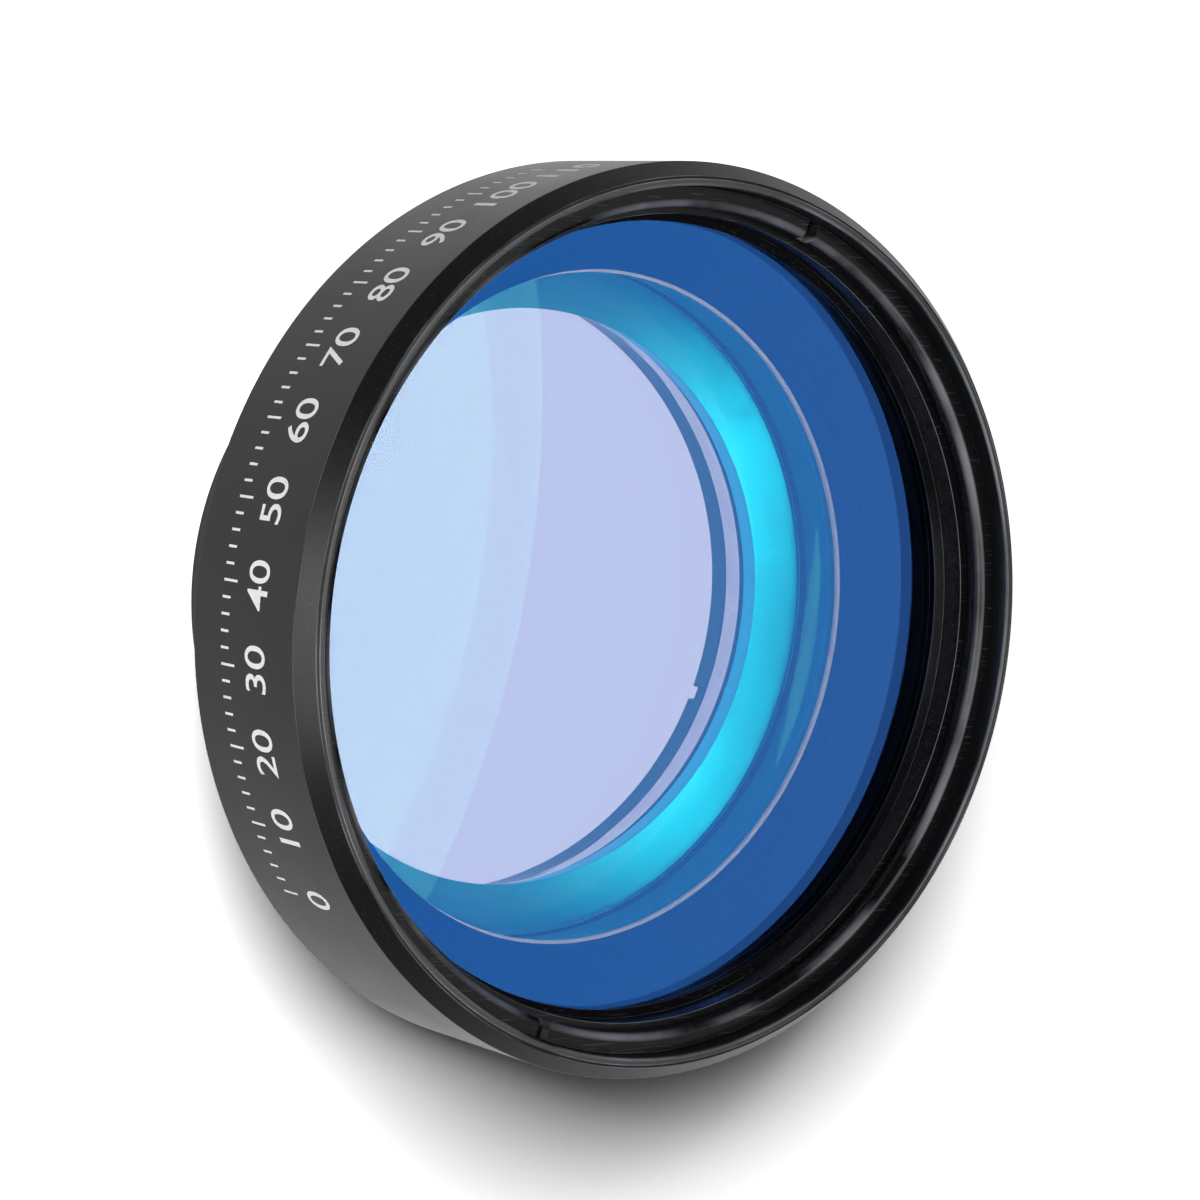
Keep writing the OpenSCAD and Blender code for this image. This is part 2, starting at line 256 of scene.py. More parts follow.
class SCANLENS_PG_studio(PropertyGroup):
    turn: angle("Turn", "How far the lens is turned away from the camera", 38.08)
    lean: angle("Lean", "How far the lens leans across the view", 5.66)
    aim: FloatVectorProperty(name="Aim", description="Centre of the rim as the camera "
                             "sees it: right, down, forward",
                             default=(10.15 * MM, 2.89 * MM, 384.4 * MM), size=3,
                             subtype="TRANSLATION", unit="LENGTH")
    focal: FloatProperty(name="Focal length", description="For a 36 mm sensor",
                         default=105.0, unit="CAMERA")
    key_radiance: amount("Key", "Brightness of the large softbox, where white paper is 1",
                         1.15)
    high_radiance: amount("High", "Brightness of the softbox over the lens", 8.0)
    side_radiance: amount("Side", "Brightness of the softbox at the other side", 8.5)
    shadow_radiance: amount("Shadow", "Brightness of the softbox that throws the shadow",
                            22.0)
    room: amount("Room", "Light of the room", 0.01)
    paper_exposure: amount("Paper exposure", "How far over plain white the camera sees the "
                           "lit paper", 3.2)


# ---- Sections of turned pieces: lists of (radius, height, rounding) corners in millimetres,
# listed counter-clockwise with the material on the left

def in_mm(group):
    """The values of a property group, with its lengths in millimetres."""
    values = {}
    for key in group.__annotations__:
        value = getattr(group, key)
        is_length = group.bl_rna.properties[key].subtype == "DISTANCE"
        values[key] = value / MM if is_length else value
    return SimpleNamespace(**values)


def sag(radius, height):
    return radius - math.sqrt(radius * radius - height * height)


def corner_points(before, corner, after, rounding):
    """Points of the arc that rounds one corner, with their wear from 0 to 1."""
    here = Vector(corner)
    to_before, to_after = Vector(before) - here, Vector(after) - here
    room = min(to_before.length, to_after.length)
    to_before.normalize()
    to_after.normalize()
    opening = to_before.angle(to_after)
    if rounding <= 0 or opening > NEARLY_STRAIGHT or room < HOLD:
        return [(here, 0.0)]
    reach = min(rounding / math.tan(opening / 2), room * SIDE_SHARE)
    radius = reach * math.tan(opening / 2)
    start, end = here + to_before * reach, here + to_after * reach
    centre = here + (to_before + to_after).normalized() * radius / math.sin(opening / 2)
    steps = CORNER_STEPS if rounding > EDGE_BREAK else BREAK_STEPS
    points = []
    for i in range(steps + 1):
        t = i / steps
        spoke = (start - centre).slerp(end - centre, t)
        points.append((centre + spoke.normalized() * radius, math.sin(math.pi * t)))
    return points


def section(corners):
    """The finished outline of a closed section: its corners rounded or their edge
    broken, and each straight stretch held by a point near both of its ends."""
    arcs = []
    for i, (r, z, rounding) in enumerate(corners):
        before = corners[i - 1][:2]
        after = corners[(i + 1) % len(corners)][:2]
        arcs.append(corner_points(before, (r, z), after, rounding))
    outline = []
    for i, arc in enumerate(arcs):
        outline += [(p.x, p.y, wear) for p, wear in arc]
        start, end = arc[-1][0], arcs[(i + 1) % len(arcs)][0][0]
        run = end - start
        if run.length > 4 * HOLD:
            step = run.normalized() * HOLD
            outline.append((*(start + step), 0.0))
            outline.append((*(end - step), 0.0))
    return outline


def edges(*corners):
    """Corners with the usual broken edge, where none is given."""
    return [c if len(c) == 3 else (*c, EDGE_BREAK) for c in corners]


def groove(seal, mouth, bottom, half_play):
    """The corners of a seal's groove, from the outer one at its mouth to the inner."""
    outer = seal.r + half_play
    inner = seal.r - seal.height - half_play
    return (outer, mouth), (outer, bottom), (inner, bottom), (inner, mouth)


def barrel_section(b, flange_low):
    shoulder = b.nose_length + b.neck_length
    core = b.thread_major - b.thread_depth
    lead = b.thread_major - b.lead_step
    lead_top = b.nose_length + b.lead_length
    relief = b.thread_major - b.relief_depth
    undercut = shoulder + b.relief_undercut
    face = b.thread_major + b.relief_margin
    rim_in = FRONT_RING.r + b.fit_gap + b.rim_round
    rim_out = rim_in + b.rim_land + b.rim_round
    window_bore = WINDOW.r + b.fit_gap
    seat = window_bore - b.seat_width
    lens_bore = FRONT_LENS.r + b.fit_gap
    rear_bore = REAR_LENS.r + b.fit_gap
    ring_bore = REAR_RING.r + b.fit_gap
    half_play = b.groove_play / 2
    return edges(
        (ring_bore, 0),
        (b.nose_radius - b.nose_chamfer, 0),
        (b.nose_radius, b.nose_chamfer),
        (b.nose_radius, b.nose_length),
        (lead - b.lead_chamfer, b.nose_length),
        (lead, b.nose_length + b.lead_chamfer),
        (lead, lead_top),
        (core, lead_top + lead - core),
        (core, shoulder - b.relief_length),
        (relief, shoulder - b.relief_length),
        (relief, undercut),
        (face, undercut),
        (face, shoulder),
        (BARREL.r - b.shoulder_chamfer, shoulder),
        (BARREL.r, shoulder + b.shoulder_chamfer),
        (BARREL.r, BARREL.top - b.bevel_length, b.bevel_round),
        (rim_out, BARREL.top - b.bevel_end, b.rim_round),
        (rim_out - b.rim_round, BARREL.top, b.rim_round),
        (rim_in - b.rim_round, BARREL.top, b.rim_round),
        (rim_in - b.rim_round, FRONT_RING.low),
        (window_bore, FRONT_RING.low),
        (window_bore, WINDOW.low),
        *groove(WINDOW_SEAL, WINDOW.low, WINDOW_SEAL.low, half_play),
        (seat, WINDOW.low),
        (seat - b.seat_lip, WINDOW.low - b.seat_lip),
        (LENS_RING.r + b.fit_gap, LENS_RING.top + b.thread_runout),
        (LENS_RING.r + b.fit_gap, SLIP_RING.low - b.thread_runout),
        (lens_bore, SLIP_RING.low - b.thread_runout),
        (lens_bore, MIDDLE_LENS.low),
        (b.lens_seat, MIDDLE_LENS.low),
        (b.lens_seat, MIDDLE_LENS.low - b.lens_lip),
        (b.flange_inner, flange_low + b.flange_thickness),
        (b.flange_inner, flange_low),
        *reversed(groove(REAR_SEAL, flange_low, REAR_SEAL.top, half_play)),
        (rear_bore, flange_low),
        (rear_bore, REAR_RING.top),
        (ring_bore, REAR_RING.top),
    )


def ring_section(ring, width, foot=0.0, bevel=0.0, rounding=EDGE_BREAK):
    """A ring's section. Its bore may have a sloping foot at the rear end, and a bevel or
    a rounding at the front end."""
    inner = ring.r - width
    corners = [(inner - foot, ring.low), (ring.r, ring.low), (ring.r, ring.top)]
    if bevel:
        corners += [(inner + bevel, ring.top), (inner, ring.top - bevel)]
    else:
        corners.append((inner, ring.top, rounding))
    if foot:
        corners.append((inner, ring.low + foot))
    return edges(*corners)


def seal_section(ring):
    radius = ring.height / 2
    outline = []
    for i in range(SEAL_STEPS):
        a = math.tau * i / SEAL_STEPS
        outline.append((ring.r - radius + radius * math.cos(a),
                        ring.low + radius + radius * math.sin(a), 0.0))
    return outline


# ---- Meshes

def linked(name, data):
    """A new object at the origin, in the scene."""
    made = bpy.data.objects.new(name, data)
    bpy.context.scene.collection.objects.link(made)
    return made


def mesh_object(name, points, faces, wear=None):
    """A smooth shaded object at the origin, with its points given in millimetres."""
    mesh = bpy.data.meshes.new(name)
    mesh.from_pydata([(x * MM, y * MM, z * MM) for x, y, z in points], [], faces)
    mesh.validate()
    mesh.shade_smooth()
    if wear:
        rubbed = mesh.attributes.new("edge_wear", "FLOAT", "POINT")
        rubbed.data.foreach_set("value", wear)
    return linked(name, mesh)


def turned(name, outline, columns=None, cut=None):
    """Turns a closed outline round the axis. columns are the angles, and cut(angle, z)
    may lower a point where a slot is."""
    columns = columns or [math.tau * i / TURN_STEPS for i in range(TURN_STEPS)]
    count = len(outline)
    points, wear = [], []
    for a in columns:
        for r, z, rubbed in outline:
            height = cut(a, z) if cut else z
            points.append((r * math.cos(a), r * math.sin(a), height))
            wear.append(rubbed)
    faces = []
    for i in range(len(columns)):
        here, there = i * count, (i + 1) % len(columns) * count
        for j in range(count):
            k = (j + 1) % count
            faces.append((here + j, there + j, there + k, here + k))
    return mesh_object(name, points, faces, wear)


def slotted(name, corners, width, depth, slot_angle, from_below=False):
    """A turned ring with two opposite slots for a spanner."""
    outline = section(corners)
    radius = sum(p[0] for p in outline) / len(outline)
    floor = (min(p[1] for p in outline) + depth if from_below
             else max(p[1] for p in outline) - depth)
    half, edge = width / 2 / radius, HOLD / radius
    columns, inside = [], {}
    for side in (slot_angle, slot_angle + math.pi):
        for offset in (-half - edge, -half, -half + edge, -half + 2 * edge, 0,
                       half - 2 * edge, half - edge, half, half + edge):
            a = (side + offset) % math.tau
            columns.append(a)
            inside[a] = abs(offset) < half - edge / 2
    for i in range(TURN_STEPS):
        a = math.tau * i / TURN_STEPS
        near = abs((a - slot_angle + math.pi / 2) % math.pi - math.pi / 2)
        if near > half + 2 * edge:
            columns.append(a)
            inside[a] = False
    columns.sort()

    def cut(a, z):
        if not inside[a]:
            return z
        return max(z, floor) if from_below else min(z, floor)
    return turned(name, outline, columns, cut)


def lens_faces(r, low, edge, convex, concave=0.0, land=0.0, front_land=0.0):
    """The profile of a lens from its rear pole round its edge to its front pole. With no
    concave radius its rear face is flat."""
    crown, inner = r - front_land, r - max(land, EDGE_BREAK + HOLD)

    def rear_sag(height):
        return sag(concave, height) if concave else 0.0
    rear_pole = low + rear_sag(inner)
    front_pole = low + edge + sag(convex, crown)
    shares = [i / LENS_STEPS for i in range(LENS_STEPS + 1)]
    rear = [(inner * t, rear_pole - rear_sag(inner * t)) for t in shares]
    front = [(crown * t, front_pole - sag(convex, crown * t)) for t in reversed(shares)]
    top = low + edge
    hold = [(r - EDGE_BREAK, low), (r, low + EDGE_BREAK), (r, low + EDGE_BREAK + HOLD),
            (r, top - EDGE_BREAK - HOLD), (r, top - EDGE_BREAK)]
    if land:
        hold = [(inner + HOLD, low), (r - EDGE_BREAK - HOLD, low)] + hold
    if front_land:
        hold += [(r - EDGE_BREAK, top), (crown + HOLD, top)]
    else:
        front[0] = (r - EDGE_BREAK, front_pole - sag(convex, r - EDGE_BREAK))
    return rear + hold + front


def polished(name, profile):
    """A closed glass body turned from a profile that starts and ends on the axis."""
    inner = profile[1:-1]
    count = len(inner)
    points = [(0, 0, profile[0][1]), (0, 0, profile[-1][1])]
    for i in range(TURN_STEPS):
        a = math.tau * i / TURN_STEPS
        points += [(r * math.cos(a), r * math.sin(a), z) for r, z in inner]
    faces = []
    for i in range(TURN_STEPS):
        here, there = 2 + i * count, 2 + (i + 1) % TURN_STEPS * count
        faces.append((0, there, here))
        faces.append((1, here + count - 1, there + count - 1))
        for j in range(count - 1):
            faces.append((here + j, there + j, there + j + 1, here + j + 1))
    return mesh_object(name, points, faces)


def finish(piece, slot, material, *replaced):
    """Gives a piece its material and its place in the frame."""
    piece.data.materials.clear()
    piece.data.materials.append(material)
    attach(piece, BODY)
    if replaced:
        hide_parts(*replaced)


def repaint(piece, material, low, high):
    """Gives another material to the faces between two heights that look inwards."""
    index = len(piece.data.materials)
    piece.data.materials.append(material)
    for face in piece.data.polygons:
        outward = face.normal.x * face.center.x + face.normal.y * face.center.y
        if low < face.center.z / MM < high and outward < 0:
            face.material_index = index


def baked(piece):
    """The mesh that an object comes out as, with its modifier or its text carried out."""
    bpy.context.view_layer.update()
    return bpy.data.meshes.new_from_object(
        piece.evaluated_get(bpy.context.evaluated_depsgraph_get()))


# ---- Node trees

def add(tree, kind, inputs=None, **settings):
    """Adds a node with its settings, sets or links its inputs, and gives its outputs."""
    node = tree.nodes.new(kind)
    for key, value in settings.items():
        setattr(node, key, value)
    for socket, value in (inputs or {}).items():
        target = node.inputs[socket]
        if isinstance(value, bpy.types.NodeSocket):
            tree.links.new(value, target)
        else:
            target.default_value = value
    return node.outputs


def geometry_tree(name, floats, integers):
    """An empty geometry tree with a material and named numbers for its inputs."""
    tree = bpy.data.node_groups.new(name, "GeometryNodeTree")
    for kind, labels in (("NodeSocketFloat", floats), ("NodeSocketInt", integers),
                         ("NodeSocketMaterial", ("Material",))):
        for label in labels:
            tree.interface.new_socket(label, in_out="INPUT", socket_type=kind)
    tree.interface.new_socket("Geometry", in_out="OUTPUT", socket_type="NodeSocketGeometry")
    return tree, tree.nodes.new("NodeGroupInput").outputs


def ended(tree, geometry, material):
    """Gives a tree's geometry its material and sends it out."""
    real = add(tree, "GeometryNodeRealizeInstances", {"Geometry": geometry})[0]
    done = add(tree, "GeometryNodeSetMaterial", {"Geometry": real, "Material": material})[0]
    tree.links.new(done, tree.nodes.new("NodeGroupOutput").inputs[0])
    return tree


def grown(name, tree, values):
    """An object whose mesh the tree makes from the given values."""
    empty = bpy.data.meshes.new(name)
    piece = linked(name, empty)
    modifier = piece.modifiers.new("Build", "NODES")
    modifier.node_group = tree
    sockets = {s.name: s.identifier for s in tree.interface.items_tree
               if s.in_out == "INPUT"}
    for label, value in values.items():
        modifier[sockets[label]] = value
    piece.data = baked(piece)
    piece.modifiers.clear()
    bpy.data.meshes.remove(empty)
    piece.data.name = name
    if not piece.data.polygons:
        raise RuntimeError(f"{name} came out empty")
    return piece


def thread_tree():
    """A helical ridge of a screw thread, swept along a spiral."""
    tree, given = geometry_tree("Screw thread", (
        "Radius", "Pitch", "Turns", "Start", "Depth", "Crest"), ("Steps per Turn",))
    rise = add(tree, "ShaderNodeMath", {0: given["Pitch"], 1: given["Turns"]},
               operation="MULTIPLY")[0]
    spiral = add(tree, "GeometryNodeCurveSpiral", {
        "Resolution": given["Steps per Turn"], "Rotations": given["Turns"],
        "Start Radius": given["Radius"], "End Radius": given["Radius"],
        "Height": rise})[0]
    lift = add(tree, "ShaderNodeCombineXYZ", {"Z": given["Start"]})[0]
    path = add(tree, "GeometryNodeSetPosition", {"Geometry": spiral, "Offset": lift})[0]
    level = add(tree, "GeometryNodeSetCurveNormal", {"Curve": path}, mode="Z_UP")[0]
    ridge = add(tree, "GeometryNodeCurvePrimitiveQuadrilateral", {
        "Height": given["Depth"], "Bottom Width": given["Pitch"],
        "Top Width": given["Crest"], "Offset": 0.0}, mode="TRAPEZOID")[0]
    upright = add(tree, "GeometryNodeTransform", {
        "Geometry": ridge, "Rotation": (0, 0, math.radians(90))})[0]
    swept = add(tree, "GeometryNodeCurveToMesh", {
        "Curve": level, "Profile Curve": upright, "Fill Caps": True})[0]
    return ended(tree, swept, given["Material"])


def marks_tree():
    """A row of short and long marks round a barrel, at even angles."""
    tree, given = geometry_tree("Scale marks", (
        "Radius", "First Angle", "Step", "Width", "Length", "Long Share", "Height",
        "Proud"), ("Marks", "Per Number"))
    index = add(tree, "GeometryNodeInputIndex")[0]
    travel = add(tree, "ShaderNodeMath", {0: index, 1: given["Step"]},
                 operation="MULTIPLY")[0]
    place = add(tree, "ShaderNodeMath", {0: given["First Angle"], 1: travel},
                operation="SUBTRACT")[0]
    rest = add(tree, "ShaderNodeMath", {0: index, 1: given["Per Number"]},
               operation="MODULO")[0]
    is_long = add(tree, "ShaderNodeMath", {0: rest, 1: 0.5}, operation="LESS_THAN")[0]
    stretch = add(tree, "ShaderNodeMapRange", {
        "Value": is_long, "To Min": 1.0, "To Max": given["Long Share"]})[0]
    points = add(tree, "GeometryNodeMeshLine", {
        "Count": given["Marks"], "Offset": (0, 0, 0)}, mode="OFFSET")[0]
    # The bar stands on its rear end, so a long mark grows to one side only
    size = add(tree, "ShaderNodeCombineXYZ", {
        "X": given["Proud"], "Y": given["Width"], "Z": given["Length"]})[0]
    bar = add(tree, "GeometryNodeMeshCube", {"Size": size})[0]
    half = add(tree, "ShaderNodeMath", {0: given["Length"], 1: 0.5},
               operation="MULTIPLY")[0]
    outwards = add(tree, "ShaderNodeCombineXYZ", {"X": given["Radius"], "Z": half})[0]
    standing = add(tree, "GeometryNodeTransform", {
        "Geometry": bar, "Translation": outwards})[0]
    turn = add(tree, "ShaderNodeCombineXYZ", {"Z": place})[0]
    shape = add(tree, "ShaderNodeCombineXYZ", {"X": 1.0, "Y": 1.0, "Z": stretch})[0]
    copies = add(tree, "GeometryNodeInstanceOnPoints", {
        "Points": points, "Instance": standing, "Rotation": turn, "Scale": shape})[0]
    lift = add(tree, "ShaderNodeCombineXYZ", {"Z": given["Height"]})[0]
    lifted = add(tree, "GeometryNodeTransform", {
        "Geometry": copies, "Translation": lift})[0]
    return ended(tree, lifted, given["Material"])


# ---- Materials

def linear(hex_colour):
    """The linear colour, with its alpha, of an sRGB hex string."""
    parts = [int(hex_colour[i:i + 2], 16) / 255 for i in (1, 3, 5)]
    return (*[c / 12.92 if c <= 0.04045 else ((c + 0.055) / 1.055) ** 2.4 for c in parts],
            1.0)


def surface(name):
    """A new material, its tree, its shader and the place on the piece, in metres."""
    material = bpy.data.materials.new(name)
    material.use_nodes = True
    tree = material.node_tree
    place = add(tree, "ShaderNodeTexCoord")["Object"]
    return material, tree, tree.nodes["Principled BSDF"], place


def mottled(name, hexes, roughness, grain_mm, detail):
    """A material whose colour and roughness waver together between two values each. It
    gives the tree, the shader, the place on the piece and the noise as well."""
    material, tree, shader, place = surface(name)
    grain = add(tree, "ShaderNodeTexNoise", {
        "Vector": place, "Scale": 1 / (grain_mm * MM), "Detail": detail})["Fac"]
    tone = add(tree, "ShaderNodeMix", {
        "Factor": grain, "A": linear(hexes[0]), "B": linear(hexes[1])},
        data_type="RGBA")["Result"]
    dull = add(tree, "ShaderNodeMapRange", {
        "Value": grain, "To Min": roughness[0], "To Max": roughness[1]})[0]
    tree.links.new(tone, shader.inputs["Base Color"])
    tree.links.new(dull, shader.inputs["Roughness"])
    return material, tree, shader, place, grain


def anodised_aluminium(name, hex_colour, worn_hex, roughness, mark_mm, sheen):
    """Turned aluminium alloy with a black dyed oxide layer. The eye sees a deep black
    with soft highlights, drawn out across the fine rings that the lathe left, a faint
    grain, and edges where handling has rubbed the oxide thin."""
    material, tree, shader, place = surface(name)
    place = add(tree, "ShaderNodeVectorMath", {0: place, "Scale": 1 / MM},
                operation="SCALE")[0]
    part = add(tree, "ShaderNodeSeparateXYZ", {0: place})
    flat = add(tree, "ShaderNodeCombineXYZ", {"X": part["X"], "Y": part["Y"]})[0]
    radius = add(tree, "ShaderNodeVectorMath", {0: flat}, operation="LENGTH")["Value"]
    heading = add(tree, "ShaderNodeVectorMath", {0: flat}, operation="NORMALIZE")[0]
    # Lathe marks: rings one feed apart, which waver slowly round the piece. The real feed
    # is under 0.05 mm, so they are drawn coarser to show.
    rings = add(tree, "ShaderNodeCombineXYZ", {"X": radius, "Y": part["Z"]})[0]
    rings = add(tree, "ShaderNodeVectorMath", {0: rings, "Scale": 1 / mark_mm},
                operation="SCALE")[0]
    waver = add(tree, "ShaderNodeVectorMath", {0: heading, "Scale": 5.0},
                operation="SCALE")[0]
    shifted = add(tree, "ShaderNodeVectorMath", {0: rings, 1: waver})[0]
    marks = add(tree, "ShaderNodeTexNoise", {
        "Vector": shifted, "Scale": 1.0, "Detail": 2.0, "Roughness": 0.6})["Fac"]
    # The oxide's grain, about 0.2 mm across, and handling marks about 12 mm across
    grain = add(tree, "ShaderNodeTexNoise", {
        "Vector": place, "Scale": 1 / 0.2, "Detail": 3.0, "Roughness": 0.7})["Fac"]
    smudge = add(tree, "ShaderNodeTexNoise", {
        "Vector": place, "Scale": 1 / 12, "Detail": 4.0})["Fac"]
    # Hairline scratches, a few millimetres long
    slanted = add(tree, "ShaderNodeMapping", {
        "Vector": place, "Rotation": (0.5, 0.3, 0.9), "Scale": (0.25, 6.0, 6.0)})[0]
    hair = add(tree, "ShaderNodeTexNoise", {
        "Vector": slanted, "Scale": 1.0, "Detail": 0.0})["Fac"]
    scratch = add(tree, "ShaderNodeMapRange", {
        "Value": hair, "From Min": 0.70, "From Max": 0.76})[0]
    # Edges are rubbed in patches, and a scratch bares a tenth as much as a full rub
    rubbed = add(tree, "ShaderNodeAttribute", attribute_name="edge_wear")["Fac"]
    patchy = add(tree, "ShaderNodeMapRange", {
        "Value": smudge, "From Min": 0.35, "From Max": 0.7})[0]
    wear = add(tree, "ShaderNodeMath", {0: rubbed, 1: patchy}, operation="MULTIPLY")[0]
    wear = add(tree, "ShaderNodeMath", {0: scratch, 1: 0.1, 2: wear},
               operation="MULTIPLY_ADD", use_clamp=True)[0]
    # The dye is up to half as bright again where the grain is open
    dark = linear(hex_colour)
    dye = add(tree, "ShaderNodeMix", {
        "Factor": grain, "A": dark, "B": (*[c * 1.5 for c in dark[:3]], 1.0)},
        data_type="RGBA")["Result"]
    tone = add(tree, "ShaderNodeMix", {"Factor": wear, "A": dye, "B": linear(worn_hex)},
               data_type="RGBA")["Result"]
    # Grain and handling marks both change the gloss a little
    gloss = add(tree, "ShaderNodeMapRange", {
        "Value": grain, "From Min": 0.3, "From Max": 0.7, "To Min": roughness - 0.05,
        "To Max": roughness + 0.05})[0]
    handled = add(tree, "ShaderNodeMath", {0: smudge, 1: 0.5}, operation="SUBTRACT")[0]
    gloss = add(tree, "ShaderNodeMath", {0: handled, 1: 0.16, 2: gloss},
                operation="MULTIPLY_ADD")[0]
    ringed = add(tree, "ShaderNodeBump", {
        "Height": marks, "Strength": 0.22, "Distance": 0.02 * MM})[0]
    bumpy = add(tree, "ShaderNodeBump", {
        "Height": grain, "Strength": 0.2, "Distance": 0.01 * MM, "Normal": ringed})[0]
    for socket, value in {"Base Color": tone, "Roughness": gloss, "Normal": bumpy}.items():
        tree.links.new(value, shader.inputs[socket])
    shader.inputs["IOR"].default_value = 1.6
    shader.inputs["Specular IOR Level"].default_value = sheen
    return material


def matt_lacquer(name, hex_colour):
    """Optical black lacquer sprayed inside the bore against stray light. The eye sees
    a dead black with hardly any highlight and the faint bumps of the spray."""
    material, tree, shader, _, spray = mottled(
        name, (hex_colour, "#0d0d0f"), roughness=(0.75, 0.95), grain_mm=0.25, detail=3.0)
    bumpy = add(tree, "ShaderNodeBump", {
        "Height": spray, "Strength": 0.3, "Distance": 0.02 * MM})[0]
    tree.links.new(bumpy, shader.inputs["Normal"])
    shader.inputs["Specular IOR Level"].default_value = 0.03
    return material


def satin_aluminium(name, hex_colour, pale_hex, roughness):
    """Fine turned aluminium under thin anodising, clear, or turquoise where that colour is a
    painted reflection of the lens coating. The eye sees a satin metal of that colour, whose
    highlights are drawn out across the lathe marks."""
    material, tree, shader, place, _ = mottled(
        name, (hex_colour, pale_hex), roughness=(roughness - 0.05, roughness + 0.05),
        grain_mm=4, detail=3.0)
    height = add(tree, "ShaderNodeSeparateXYZ", {0: place})["Z"]
    # Lathe marks 0.15 mm apart along the axis, a little coarser than the real feed
    groove = add(tree, "ShaderNodeMath", {0: height, 1: math.tau / (0.15 * MM)},
                 operation="MULTIPLY")[0]
    groove = add(tree, "ShaderNodeMath", {0: groove}, operation="SINE")[0]
    bumpy = add(tree, "ShaderNodeBump", {
        "Height": groove, "Strength": 0.1, "Distance": 0.01 * MM})[0]
    tree.links.new(bumpy, shader.inputs["Normal"])
    shader.inputs["Metallic"].default_value = 1.0
    return material


def coated_glass(name, tint_hex, coat_hex, ior, smudge_mm):
    """Polished optical glass under an anti-reflection coating for infrared light. The
    eye sees clear glass whose reflections come back in the coating's colour, with a
    breath of haze where it has been wiped."""
    material, tree, shader, place = surface(name)
    haze = add(tree, "ShaderNodeTexNoise", {
        "Vector": place, "Scale": 1 / (smudge_mm * MM), "Detail": 3.0})["Fac"]
    wiped = add(tree, "ShaderNodeMapRange", {
        "Value": haze, "From Min": 0.45, "From Max": 0.8, "To Max": 0.03})[0]
    tree.links.new(wiped, shader.inputs["Roughness"])
    shader.inputs["Base Color"].default_value = linear(tint_hex)
    shader.inputs["IOR"].default_value = ior
    shader.inputs["Transmission Weight"].default_value = 1.0
    shader.inputs["Specular Tint"].default_value = linear(coat_hex)
    return material


def nitrile_rubber(name, hex_colour):
    """Moulded black nitrile. The eye sees a dull black with a faint bloom and no
    sharp highlight."""
    return mottled(name, (hex_colour, "#242424"), roughness=(0.6, 0.8), grain_mm=0.5,
                   detail=3.0)[0]


def fluoropolymer(name, hex_colour):
    """White fluoropolymer cut from sheet. The eye sees a waxy white with a soft
    sheen."""
    material, _, shader, _, _ = mottled(
        name, (hex_colour, "#dcdcd4"), roughness=(0.35, 0.5), grain_mm=1.5, detail=2.0)
    shader.inputs["IOR"].default_value = 1.35
    return material


def engraved_white(name, hex_colour):
    """Marks cut through the black oxide and filled with white enamel. The eye sees a
    flat white with slightly uneven cover."""
    material, tree, shader, place = surface(name)
    cover = add(tree, "ShaderNodeTexNoise", {
        "Vector": place, "Scale": 1 / (0.3 * MM), "Detail": 2.0})["Fac"]
    thin = add(tree, "ShaderNodeMapRange", {
        "Value": cover, "From Min": 0.55, "From Max": 0.75, "To Max": 0.5})[0]
    tone = add(tree, "ShaderNodeMix", {
        "Factor": thin, "A": linear(hex_colour), "B": linear("#b4b4b2")},
        data_type="RGBA")["Result"]
    dull = add(tree, "ShaderNodeMapRange", {
        "Value": cover, "To Min": 0.5, "To Max": 0.75})[0]
    tree.links.new(tone, shader.inputs["Base Color"])
    tree.links.new(dull, shader.inputs["Roughness"])
    return material


def studio_paper(name, hex_colour, exposed):
    """White paper, shown to the camera over its plain exposure, so that it clears to
    white and keeps the lens's shadow. Metal and glass show it plain white."""
    material = bpy.data.materials.new(name)
    material.use_nodes = True
    tree = material.node_tree
    tree.nodes.remove(tree.nodes["Principled BSDF"])
    colour = linear(hex_colour)
    look = add(tree, "ShaderNodeBsdfDiffuse", {"Color": colour})[0]
    shown = add(tree, "ShaderNodeBsdfDiffuse", {
        "Color": (*[c * exposed for c in colour[:3]], 1.0)})[0]
    white = add(tree, "ShaderNodeEmission", {"Strength": 1.0})[0]
    path = add(tree, "ShaderNodeLightPath")
    for ray, seen in (("Is Camera Ray", shown), ("Is Glossy Ray", white),
                      ("Is Transmission Ray", white)):
        look = add(tree, "ShaderNodeMixShader", {0: path[ray], 1: look, 2: seen})[0]
    tree.links.new(look, tree.nodes["Material Output"].inputs["Surface"])
    return material


# ---- Studio

def softbox(name, towards, distance, size, radiance, floor, light_linking):
    """A softbox that faces the lens. Its power follows from how bright its face looks.
    It lights the floor alone ("INCLUDE") or all but the floor ("EXCLUDE")."""
    lamp = bpy.data.lights.new(name, "AREA")
    lamp.shape = "RECTANGLE"
    lamp.size, lamp.size_y = size
    lamp.energy = radiance * math.pi * size[0] * size[1]
    box = linked(name, lamp)
    direction = Vector(towards).normalized()
    box.matrix_world = (Matrix.Translation(direction * distance)
                        @ direction.to_track_quat("Z", "Y").to_matrix().to_4x4())
    lit = bpy.data.collections.new(name + "_lights")
    lit.objects.link(floor)
    lit.collection_objects[0].light_linking.link_state = light_linking
    box.light_linking.receiver_collection = lit


def sizes():
    return bpy.context.scene.scan_lens_sizes


# ---- Operators

